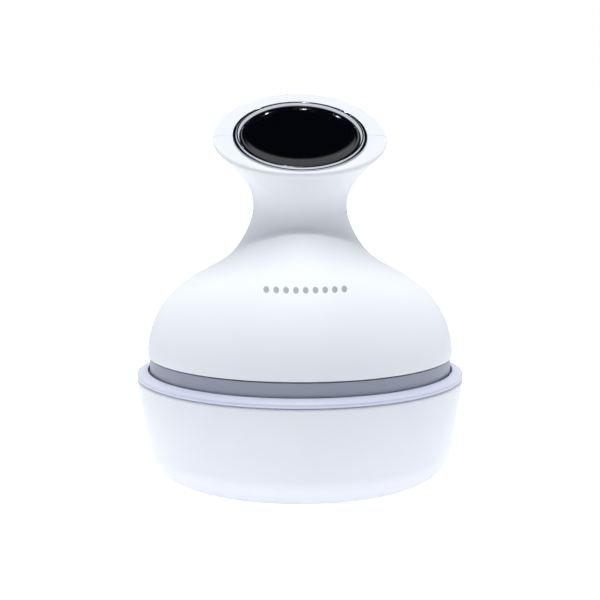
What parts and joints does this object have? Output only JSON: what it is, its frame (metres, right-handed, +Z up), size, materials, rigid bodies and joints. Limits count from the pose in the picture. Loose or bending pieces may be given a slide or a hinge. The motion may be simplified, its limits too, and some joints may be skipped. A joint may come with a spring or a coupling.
{
  "type": "scalp massager with charging dock",
  "caption": "Palm-held electric kneading scalp massager with a waisted neck and tilted round head, standing claws-down in a round charging dock.",
  "frame": {"origin": "centre of the dock's underside, on the surface it stands on", "axes": "+Z up, -Y towards the front, the way the head leans, +X to the right seen from the front"},
  "size_m": [0.118, 0.118, 0.138],
  "materials": {
    "white_casing": "satin white moulded casing",
    "chrome_trim": "polished plating",
    "black_lens": "high-gloss black",
    "grey_plastic": "moulded",
    "dark_rubber": "matte",
    "circuit_board": "green solder mask",
    "black_plastic": "moulded",
    "steel": "bright",
    "grey_band": "satin cool grey",
    "brass": "bright",
    "battery_wrap": "heat-shrink sleeve",
    "dock_white": "satin",
    "dock_rim": "satin pale lavender",
    "gear_plastic": "moulded acetal",
    "hub_plastic": "moulded",
    "silicone": "soft translucent matte"
  },
  "bodies": {
    "dock": {"dock_shell": "dock_white", "dock_tray": "dock_rim", "dock_base_cover": "dock_white", "dock_feet": "dark_rubber", "dock_screws": "steel", "dock_board": "circuit_board", "usb_socket": "steel", "pin_holder": "black_plastic", "pin_spring_left": "steel", "pin_spring_right": "steel"},
    "handset": {"front_shell": "white_casing", "rear_shell": "white_casing", "chrome_ring": "chrome_trim", "button_seal": "dark_rubber", "button_frame": "grey_plastic", "button_board": "circuit_board", "tact_switch": "black_plastic", "board_screws": "steel", "housing_seal": "dark_rubber", "lower_housing": "grey_band", "chassis_plate": "grey_plastic", "chassis_screws": "steel", "motor_gearbox": "steel", "motor": "steel", "motor_screws": "steel", "battery_cell": "battery_wrap", "battery_cradle": "grey_plastic", "main_board": "circuit_board", "charge_contacts": "brass", "spindle_bushes": "brass", "spindle_seals": "dark_rubber"},
    "button": {"button_lens": "black_lens", "button_carrier": "grey_plastic"},
    "pinion": {"drive_pinion": "brass", "drive_shaft": "steel"},
    "pin_left": {"contact_pin_left": "brass"},
    "pin_right": {"contact_pin_right": "brass"},
    "head_fl": {"head_gear_fl": "gear_plastic", "spindle_fl": "steel", "claw_hub_fl": "hub_plastic", "claw_pad_fl": "silicone"},
    "head_fr": {"head_gear_fr": "gear_plastic", "spindle_fr": "steel", "claw_hub_fr": "hub_plastic", "claw_pad_fr": "silicone"},
    "head_rr": {"head_gear_rr": "gear_plastic", "spindle_rr": "steel", "claw_hub_rr": "hub_plastic", "claw_pad_rr": "silicone"},
    "head_rl": {"head_gear_rl": "gear_plastic", "spindle_rl": "steel", "claw_hub_rl": "hub_plastic", "claw_pad_rl": "silicone"}
  },
  "joints": [
    {"name": "handset_lift", "type": "slide", "parent": "dock", "child": "handset", "axis": [0, 0, 1], "range_m": [0, 0.045]},
    {"name": "button_press", "type": "slide", "parent": "handset", "child": "button", "axis": [0, -0.4695, 0.8829], "range_m": [-0.0007, 0], "stiffness_N_per_m": 900, "springref_m": 0.001},
    {"name": "pinion_spin", "type": "hinge", "parent": "handset", "child": "pinion", "pos_m": [0, 0, 0.0484], "axis": [0, 0, 1], "continuous": true},
    {"name": "head_spin_fl", "type": "hinge", "parent": "handset", "child": "head_fl", "pos_m": [-0.01812, -0.01812, 0.044], "axis": [0, 0, 1], "continuous": true},
    {"name": "head_spin_fr", "type": "hinge", "parent": "handset", "child": "head_fr", "pos_m": [0.01812, -0.01812, 0.044], "axis": [0, 0, 1], "continuous": true},
    {"name": "head_spin_rr", "type": "hinge", "parent": "handset", "child": "head_rr", "pos_m": [0.01812, 0.01812, 0.044], "axis": [0, 0, 1], "continuous": true},
    {"name": "head_spin_rl", "type": "hinge", "parent": "handset", "child": "head_rl", "pos_m": [-0.01812, 0.01812, 0.044], "axis": [0, 0, 1], "continuous": true},
    {"name": "pin_press_left", "type": "slide", "parent": "dock", "child": "pin_left", "axis": [0, 0, 1], "range_m": [-0.001, 0], "stiffness_N_per_m": 400, "springref_m": 0.001, "deforming": ["pin_spring_left"]},
    {"name": "pin_press_right", "type": "slide", "parent": "dock", "child": "pin_right", "axis": [0, 0, 1], "range_m": [-0.001, 0], "stiffness_N_per_m": 400, "springref_m": 0.001, "deforming": ["pin_spring_right"]}
  ],
  "couplings": [
    {"joint": "head_spin_fr", "follows": "head_spin_fl", "ratio": -1},
    {"joint": "head_spin_rr", "follows": "head_spin_fl", "ratio": 1},
    {"joint": "head_spin_rl", "follows": "head_spin_fl", "ratio": -1},
    {"joint": "pinion_spin", "follows": "head_spin_fl", "ratio": -2.4167}
  ]
}
